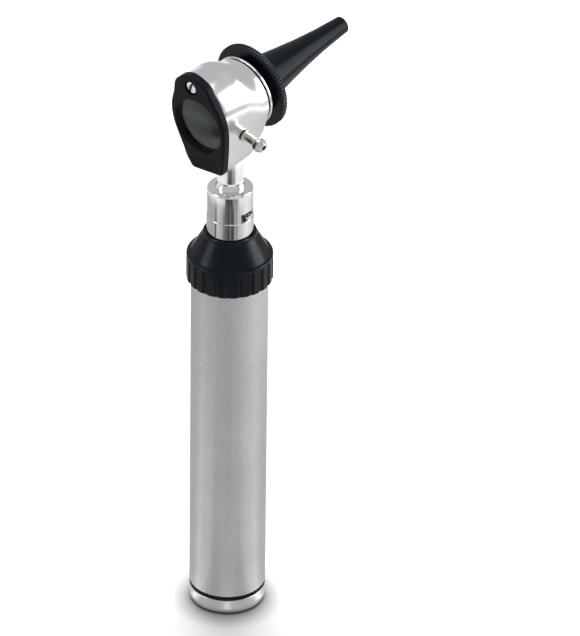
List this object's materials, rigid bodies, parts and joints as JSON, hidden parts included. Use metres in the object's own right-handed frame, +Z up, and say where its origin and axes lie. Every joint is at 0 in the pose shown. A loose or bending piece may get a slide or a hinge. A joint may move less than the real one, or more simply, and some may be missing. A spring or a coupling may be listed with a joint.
{
  "type": "otoscope",
  "caption": "Hand-held otoscope: knurled battery handle, dimmer ring, bayonet head with swivel magnifier, air nipple and twist-on ear speculum.",
  "frame": {"origin": "centre of the flat underside of the tail cap, on the handle's axis", "axes": "+Z up the handle; +Y the way the speculum points, away from the user's eye; +X the side with the air nipple"},
  "size_m": [0.0377, 0.0815, 0.2363],
  "materials": {
    "tail_cap": "satin",
    "tail_seal": "matte",
    "spring_cup": "plain",
    "tail_spring": "plain",
    "cell_lower": "wrapped",
    "cell_upper": "wrapped",
    "battery_tube": "fine diamond knurl, satin",
    "cell_contact": "plain",
    "contact_board": "matte",
    "feed_rod": "plain",
    "handle_collar": "polished",
    "plunger_seat": "plain",
    "plunger_spring": "plain",
    "contact_plunger": "plain",
    "plunger_bush": "matte",
    "dimmer_track": "matte",
    "dimmer_wiper": "plain",
    "brightness_ring": "semi-matte",
    "ring_clip": "plain",
    "bayonet_pins": "plain",
    "head_socket": "polished",
    "head_stem": "polished",
    "lamp_base": "plain",
    "lamp_glass": "clear",
    "lamp_contact": "plain",
    "body_shell": "polished",
    "front_ring": "polished",
    "nose_holder": "semi-matte",
    "nose_shell": "matte",
    "fibre_sleeve": "ground",
    "light_guide": "ground",
    "specula_pins": "plain",
    "speculum": "satin",
    "grip_ring": "semi-matte",
    "rear_gasket": "matte",
    "pivot_bush": "plain",
    "pivot_screw": "polished",
    "spring_washer": "plain",
    "lens_frame": "semi-matte",
    "lens": "clear, unlit",
    "lens_retainer": "matte",
    "air_nipple": "polished",
    "nipple_seal": "matte"
  },
  "bodies": {
    "cap": {"tail_cap": "tail_cap", "tail_seal": "tail_seal", "spring_cup": "spring_cup", "tail_spring": "tail_spring"},
    "cells": {"cell_lower": "cell_lower", "cell_upper": "cell_upper"},
    "handle": {"battery_tube": "battery_tube", "cell_contact": "cell_contact", "contact_board": "contact_board", "feed_rod": "feed_rod", "handle_collar": "handle_collar", "plunger_seat": "plunger_seat", "plunger_spring": "plunger_spring", "plunger_bush": "plunger_bush", "dimmer_track": "dimmer_track", "ring_clip": "ring_clip", "bayonet_pins": "bayonet_pins"},
    "plunger": {"contact_plunger": "contact_plunger"},
    "dimmer": {"brightness_ring": "brightness_ring", "dimmer_wiper": "dimmer_wiper"},
    "head": {"head_socket": "head_socket", "head_stem": "head_stem", "lamp_base": "lamp_base", "lamp_glass": "lamp_glass", "lamp_contact": "lamp_contact", "body_shell": "body_shell", "front_ring": "front_ring", "nose_holder": "nose_holder", "nose_shell": "nose_shell", "fibre_sleeve": "fibre_sleeve", "light_guide": "light_guide", "specula_pins": "specula_pins", "rear_gasket": "rear_gasket", "pivot_bush": "pivot_bush", "pivot_screw": "pivot_screw", "spring_washer": "spring_washer", "air_nipple": "air_nipple", "nipple_seal": "nipple_seal"},
    "eyepiece": {"lens_frame": "lens_frame", "lens": "lens", "lens_retainer": "lens_retainer"},
    "ear_piece": {"speculum": "speculum", "grip_ring": "grip_ring"}
  },
  "joints": [
    {"name": "cap_lift", "type": "slide", "parent": "cap", "child": "cells", "axis": [0, 0, 1], "range_m": [0, 0.006], "deforming": ["tail_spring"]},
    {"name": "cap_turn", "type": "hinge", "parent": "cells", "child": "handle", "pos_m": [0, 0, 0.05], "axis": [0, 0, 1], "range_deg": [0, 1440]},
    {"name": "plunger_press", "type": "slide", "parent": "handle", "child": "plunger", "axis": [0, 0, 1], "range_m": [-0.0015, 0], "stiffness_N_per_m": 400, "springref_m": 0.003, "deforming": ["plunger_spring"]},
    {"name": "dimmer_turn", "type": "hinge", "parent": "handle", "child": "dimmer", "pos_m": [0, 0, 0.147], "axis": [0, 0, 1], "range_deg": [0, 110]},
    {"name": "head_twist", "type": "hinge", "parent": "handle", "child": "head", "pos_m": [0, 0, 0.172], "axis": [0, 0, 1], "range_deg": [0, 38]},
    {"name": "lens_swivel", "type": "hinge", "parent": "head", "child": "eyepiece", "pos_m": [0, -0.01957, 0.23103], "axis": [0, -0.9945, -0.1045], "range_deg": [-8, 82]},
    {"name": "speculum_twist", "type": "hinge", "parent": "head", "child": "ear_piece", "pos_m": [0, 0.01193, 0.21825], "axis": [0, 0.9945, 0.1045], "range_deg": [0, 35]}
  ],
  "couplings": [
    {"joint": "cap_turn", "follows": "cap_lift", "rad_per_m": 4188.8}
  ]
}
